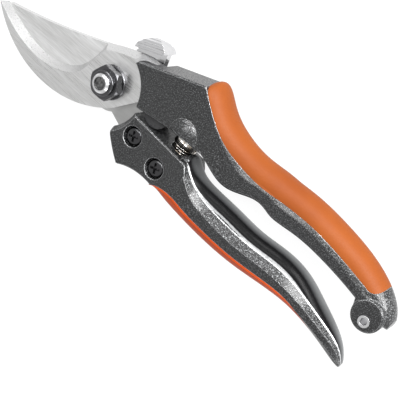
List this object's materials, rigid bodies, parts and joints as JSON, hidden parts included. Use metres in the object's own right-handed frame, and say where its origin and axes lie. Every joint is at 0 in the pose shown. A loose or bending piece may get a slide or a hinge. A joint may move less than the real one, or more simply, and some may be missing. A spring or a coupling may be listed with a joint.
{
  "type": "bypass pruner",
  "caption": "Hand pruner with a bevelled hook and a passing blade on a bolted pivot, sprung handles with soft grips, a thumb catch and a cord eyelet.",
  "frame": {"origin": "on the pivot axis, at the plane that the tool's back lies on", "axes": "+X along the tool from the blade's tip to the handle ends, +Y towards the upper handle, +Z from the back to the nut"},
  "size_m": [0.2102, 0.0568, 0.0194],
  "materials": {
    "blade_steel": "ground, brushed across the plate, near-white bevels",
    "handle_coat": "dark charcoal textured coat with a fine light speckle",
    "soft_orange": "satin orange soft grip",
    "dark_steel": "blackened steel, rims rubbed bright",
    "chrome_pad": "bright chrome with soft wear",
    "catch_steel": "bright zinc-plated steel",
    "spring_nickel": "nickel-plated strip",
    "black_rubber": "black rubber",
    "black_plastic": "moulded black plastic",
    "bronze": "sintered bronze"
  },
  "bodies": {
    "upper": {"hook_blade": "blade_steel", "upper_handle": "handle_coat", "upper_grip": "soft_orange", "hook_screws": "dark_steel", "pivot_bolt": "dark_steel", "front_washer": "dark_steel", "pivot_nut": "dark_steel", "wave_washer": "dark_steel", "latch_pin": "catch_steel", "latch_leaf_spring": "catch_steel", "closing_bumper": "black_rubber", "upper_spring_seat": "black_plastic", "return_spring": "spring_nickel", "cord_eyelet": "spring_nickel"},
    "lower": {"cutting_blade": "blade_steel", "lower_handle": "handle_coat", "lower_grip": "soft_orange", "blade_screws": "dark_steel", "blade_nuts": "dark_steel", "pivot_bush": "bronze", "lower_spring_seat": "black_plastic"},
    "latch": {"latch_lever": "catch_steel", "latch_pad": "chrome_pad"}
  },
  "joints": [
    {"name": "pivot", "type": "hinge", "parent": "upper", "child": "lower", "pos_m": [0, 0, 0.008], "axis": [0, 0, -1], "range_deg": [0, 28], "stiffness_Nm_per_rad": 1.1, "springref_deg": 40.11, "deforming": ["return_spring"]},
    {"name": "catch", "type": "hinge", "parent": "upper", "child": "latch", "pos_m": [0.0178, 0.0132, 0.008], "axis": [0, 0, 1], "range_deg": [0, 6.5]}
  ]
}
